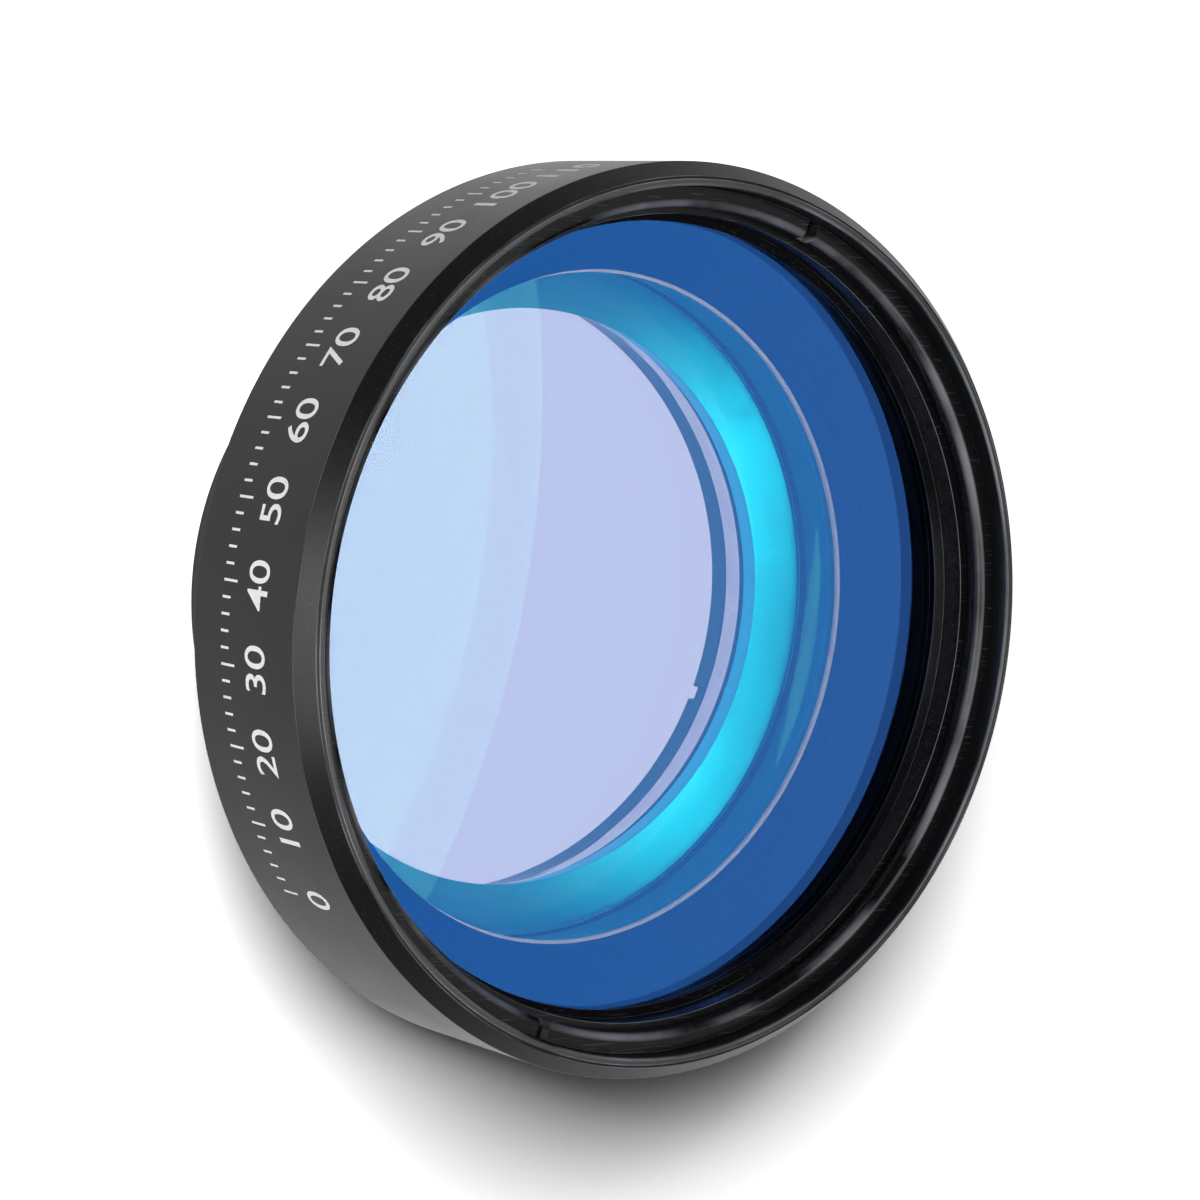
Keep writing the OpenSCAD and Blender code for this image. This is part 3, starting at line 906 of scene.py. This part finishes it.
class SCANLENS_OT_barrel(Operator):
    """Turn the barrel, with its neck, bevel, rim and inner bores"""
    bl_idname = "scanlens.barrel"
    bl_label = "Barrel"

    def execute(self, context):
        f = sizes().finish
        black = anodised_aluminium("black anodised turned aluminium", f.anodised,
                                   f.bare_edge, roughness=0.36, mark_mm=0.12, sheen=0.2)
        flange_low = REAR_LENS.low + in_mm(sizes().glass).rear_edge
        outline = section(barrel_section(in_mm(sizes().barrel), flange_low))
        barrel = turned("turned_barrel", outline)
        finish(barrel, "barrel", black, "main_barrel")
        repaint(barrel, matt_lacquer("matt black bore lacquer", f.lacquer),
                MIDDLE_LENS.low, WINDOW.low - HOLD)
        # The inward faces of the rear cell get a painted reflection: turquoise that stands for
        # the light the lens coating returns
        repaint(barrel, satin_aluminium("rear cell with painted turquoise coating reflection", f.dyed,
                                        f.painted_reflection_pale, roughness=0.45),
                REAR_LENS.low, MIDDLE_LENS.low)
        return {"FINISHED"}


class SCANLENS_OT_thread(Operator):
    """Cut the mounting thread on the neck"""
    bl_idname = "scanlens.thread"
    bl_label = "Thread"

    def execute(self, context):
        b = sizes().barrel
        black = bpy.data.materials["black anodised turned aluminium"]
        low = b.nose_length + b.lead_length + b.lead_step
        high = b.nose_length + b.neck_length - b.relief_length
        # The flat on the crest takes a sixth of the pitch
        ridge = grown("mounting_thread", thread_tree(), {
            "Radius": b.thread_major - b.thread_depth / 2, "Pitch": b.thread_pitch,
            "Turns": (high - low) / b.thread_pitch - 1, "Start": low + b.thread_pitch / 2,
            "Depth": b.thread_depth, "Crest": b.thread_pitch / 6,
            "Steps per Turn": THREAD_STEPS, "Material": black})
        finish(ridge, "barrel", black)
        return {"FINISHED"}


class SCANLENS_OT_rings(Operator):
    """Turn the retaining, clamp and pressure rings and the spacer, and cut the slots"""
    bl_idname = "scanlens.rings"
    bl_label = "Rings"

    def execute(self, context):
        r, f = in_mm(sizes().rings), sizes().finish
        satin = anodised_aluminium("satin black anodised ring", f.anodised_ring,
                                   f.bare_edge, roughness=0.2, mark_mm=0.15, sheen=0.07)
        matt = matt_lacquer("matt black lacquered ring", f.lacquer)
        # The spacer's turquoise is a painted reflection of the lens coating
        dyed = satin_aluminium("spacer with painted turquoise coating reflection", f.dyed, f.painted_reflection_pale,
                               roughness=0.7)
        bright = satin_aluminium("clear anodised pressure ring", f.bright, f.bright_pale,
                                 roughness=0.26)
        front = slotted("front_ring", ring_section(
            FRONT_RING, r.front_width, rounding=r.front_round), r.slot_width,
            r.front_slot_depth, r.front_slot_angle)
        finish(front, "ring", satin, "front_retaining_ring")
        clamp = turned("clamp_ring", section(ring_section(
            CLAMP_RING, r.clamp_width, foot=r.clamp_foot)))
        finish(clamp, "ring", satin, "window_clamp_ring")
        inner = slotted("lens_ring", ring_section(
            LENS_RING, r.lens_width, bevel=r.lens_bevel), r.slot_width,
            r.inner_slot_depth, r.inner_slot_angle)
        finish(inner, "ring", matt, "lens_retaining_ring")
        spacer = turned("spacer_ring", section(ring_section(SPACER, r.spacer_width)))
        finish(spacer, "ring", dyed, "lens_spacer")
        rear = slotted("rear_ring", ring_section(REAR_RING, r.rear_width), r.slot_width,
                       r.inner_slot_depth, r.inner_slot_angle, from_below=True)
        finish(rear, "ring", satin, "rear_retaining_ring")
        pressure = turned("pressure_ring", section(ring_section(
            PRESSURE_RING, r.pressure_width)))
        finish(pressure, "bright_ring", bright, "rear_pressure_ring")
        return {"FINISHED"}


class SCANLENS_OT_lenses(Operator):
    """Grind and coat the three lenses"""
    bl_idname = "scanlens.lenses"
    bl_label = "Lenses"

    def execute(self, context):
        g, f = in_mm(sizes().glass), sizes().finish
        glass = coated_glass("coated fused silica lens", f.lens_glass, f.lens_coat,
                             LENS_INDEX, smudge_mm=30)
        dense = coated_glass("coated dense glass rear lens", f.rear_glass, f.lens_coat,
                             LENS_INDEX, smudge_mm=30)
        front = polished("front_plano_convex", lens_faces(
            FRONT_LENS.r, FRONT_LENS.low, g.front_edge, g.front_convex))
        finish(front, "lens_glass", glass, "front_lens")
        middle = polished("middle_meniscus", lens_faces(
            MIDDLE_LENS.r, MIDDLE_LENS.low, g.middle_edge, g.middle_convex,
            g.middle_concave, g.land))
        finish(middle, "lens_glass", glass, "middle_lens")
        rear = polished("rear_meniscus", lens_faces(
            REAR_LENS.r, REAR_LENS.low, g.rear_edge, g.rear_convex, g.rear_concave,
            g.rear_land, g.rear_land))
        finish(rear, "lens_glass", dense, "rear_lens")
        return {"FINISHED"}


class SCANLENS_OT_window(Operator):
    """Polish and coat the flat protective window"""
    bl_idname = "scanlens.window"
    bl_label = "Window"

    def execute(self, context):
        f = sizes().finish
        bevel = in_mm(sizes().glass).window_bevel
        glass = coated_glass("coated flat window", f.window_glass, f.window_coat,
                             WINDOW_INDEX, smudge_mm=40)
        r, low, top = WINDOW.r, WINDOW.low, WINDOW.top
        pane = polished("window_pane", [
            (0, low), (r / 2, low), (r - bevel - HOLD, low), (r - bevel, low),
            (r, low + bevel), (r, low + bevel + HOLD), (r, top - bevel - HOLD),
            (r, top - bevel), (r - bevel, top), (r - bevel - HOLD, top), (r / 2, top),
            (0, top)])
        finish(pane, "window_glass", glass, "protective_window")
        return {"FINISHED"}


class SCANLENS_OT_seals(Operator):
    """Fit the two rubber seals and the white slip ring"""
    bl_idname = "scanlens.seals"
    bl_label = "Seals"

    def execute(self, context):
        f = sizes().finish
        rubber = nitrile_rubber("moulded nitrile seal", f.rubber)
        front = turned("front_seal", seal_section(WINDOW_SEAL))
        finish(front, "seal", rubber, "window_seal")
        rear = turned("back_seal", seal_section(REAR_SEAL))
        finish(rear, "seal", rubber, "rear_seal")
        plastic = fluoropolymer("white fluoropolymer slip ring", f.slip_plastic)
        width = in_mm(sizes().rings).slip_width
        slip = turned("slip_ring", section(ring_section(SLIP_RING, width)))
        finish(slip, "slip_plastic", plastic, "lens_slip_ring")
        return {"FINISHED"}


class SCANLENS_OT_scale(Operator):
    """Engrave the marks and the plain numbers of the scale on the barrel"""
    bl_idname = "scanlens.scale"
    bl_label = "Scale"

    def execute(self, context):
        s = sizes().scale
        white = engraved_white("white filled engraving", sizes().finish.mark)
        radius = BARREL.r * MM
        shoulder = sizes().barrel.nose_length + sizes().barrel.neck_length
        marks = grown("scale_marks", marks_tree(), {
            "Radius": radius, "First Angle": s.first_angle, "Step": s.step,
            "Marks": s.marks, "Per Number": s.per_number, "Width": s.mark_width,
            "Length": s.mark_length, "Long Share": s.long_share,
            "Height": shoulder + s.mark_height,
            "Proud": 2 * MARK_PROUD * MM, "Material": white})
        finish(marks, "barrel", white)
        for n in range((s.marks - 1) // s.per_number + 1):
            place = s.first_angle - n * s.per_number * s.step
            number = self.number(str(n * s.units_per_number), s, radius, place,
                                 shoulder + s.digit_base)
            finish(number, "barrel", white)
        return {"FINISHED"}

    @staticmethod
    def number(text, s, radius, place, foot):
        """A number bent round the barrel, with its head towards the rear end."""
        outline = bpy.data.curves.new("number_" + text, "FONT")
        outline.body = text
        outline.size = s.digit_height * DIGIT_SIZE
        outline.align_x = "CENTER"
        outline.extrude = MARK_PROUD * MM
        outline.offset = s.digit_weight
        written = linked("number_" + text, outline)
        mesh = baked(written)
        bpy.data.objects.remove(written)
        for v in mesh.vertices:
            turn = place - v.co.x / radius
            out = radius + v.co.z
            v.co = (out * math.cos(turn), out * math.sin(turn), foot - v.co.y)
        return linked("number_" + text, mesh)


class SCANLENS_OT_stage(Operator):
    """Set up the floor, the softboxes, the room and the camera"""
    bl_idname = "scanlens.stage"
    bl_label = "Stage"

    def execute(self, context):
        s = sizes().studio
        floor = self.floor(studio_paper("white studio paper", sizes().finish.floor,
                                        s.paper_exposure))
        for name, towards, distance, size, brightness, link in SOFTBOXES:
            softbox(name, towards, distance, size, getattr(s, brightness), floor, link)
        world = bpy.data.worlds.new("dim white room")
        world.use_nodes = True
        sky = world.node_tree.nodes["Background"].inputs
        sky["Color"].default_value = (1.0, 1.0, 1.0, 1.0)
        sky["Strength"].default_value = s.room
        context.scene.world = world
        self.camera(context, s)
        context.scene.view_settings.view_transform = "Standard"
        return {"FINISHED"}

    @staticmethod
    def floor(paper):
        """A flat floor that lies just under the rear end of the lens."""
        corners = [(x * FLOOR_HALF, y * FLOOR_HALF) for x, y in (
            (-1, -1), (1, -1), (1, 1), (-1, 1))]
        mesh = bpy.data.meshes.new("floor")
        mesh.from_pydata([(x, y, -MARK_PROUD * MM) for x, y in corners], [], [(0, 1, 2, 3)])
        mesh.materials.append(paper)
        floor = linked("floor", mesh)
        return floor

    @staticmethod
    def camera(context, s):
        """Places the camera from how the lens's axes lie in its view, with x to the
        right, y down and z forward."""
        axis = Vector((math.sin(s.turn) * math.cos(s.lean), math.sin(s.lean),
                       -math.cos(s.turn) * math.cos(s.lean)))
        across = axis.cross(Vector((0, 1, 0))).normalized()
        along = axis.cross(across)
        seen = Matrix((across, along, axis))
        centre = Vector((0, 0, BARREL.top * MM))
        place = centre - seen @ Vector(s.aim)
        right, down, forward = (seen.col[i] for i in range(3))
        turn = Matrix((right, -down, -forward)).transposed()
        data = bpy.data.cameras.new("camera")
        data.lens, data.sensor_width = s.focal, SENSOR
        camera = linked("camera", data)
        camera.matrix_world = Matrix.Translation(place) @ turn.to_4x4()
        context.scene.camera = camera


OPERATORS = (SCANLENS_OT_barrel, SCANLENS_OT_thread, SCANLENS_OT_rings,
             SCANLENS_OT_lenses, SCANLENS_OT_window, SCANLENS_OT_seals,
             SCANLENS_OT_scale, SCANLENS_OT_stage)


class SCANLENS_PG_sizes(PropertyGroup):
    barrel: PointerProperty(type=SCANLENS_PG_barrel)
    rings: PointerProperty(type=SCANLENS_PG_rings)
    glass: PointerProperty(type=SCANLENS_PG_glass)
    scale: PointerProperty(type=SCANLENS_PG_scale)
    finish: PointerProperty(type=SCANLENS_PG_finish)
    studio: PointerProperty(type=SCANLENS_PG_studio)


class SCANLENS_PT_panel(Panel):
    """Lists the steps that build the scan lens"""
    bl_label = "Scan Lens"
    bl_idname = "SCANLENS_PT_panel"
    bl_space_type = "VIEW_3D"
    bl_region_type = "UI"
    bl_category = "Scan Lens"

    def draw(self, context):
        for step in OPERATORS:
            self.layout.operator(step.bl_idname)
        for group in ("barrel", "rings", "glass", "scale", "finish", "studio"):
            box = self.layout.box()
            box.label(text=group.capitalize())
            values = getattr(context.scene.scan_lens_sizes, group)
            for key in values.__annotations__:
                box.prop(values, key)


CLASSES = (SCANLENS_PG_barrel, SCANLENS_PG_rings, SCANLENS_PG_glass, SCANLENS_PG_scale,
           SCANLENS_PG_finish, SCANLENS_PG_studio, SCANLENS_PG_sizes, *OPERATORS,
           SCANLENS_PT_panel)


def register():
    for cls in CLASSES:
        bpy.utils.register_class(cls)
    bpy.types.Scene.scan_lens_sizes = PointerProperty(type=SCANLENS_PG_sizes)


def unregister():
    del bpy.types.Scene.scan_lens_sizes
    for cls in reversed(CLASSES):
        bpy.utils.unregister_class(cls)


def main():
    """Registers the add-on, then builds every piece and the studio."""
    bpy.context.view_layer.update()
    register()
    bpy.ops.scanlens.barrel()
    bpy.ops.scanlens.thread()
    bpy.ops.scanlens.rings()
    bpy.ops.scanlens.lenses()
    bpy.ops.scanlens.window()
    bpy.ops.scanlens.seals()
    bpy.ops.scanlens.scale()
    bpy.ops.scanlens.stage()


if __name__ == "__main__":
    main()
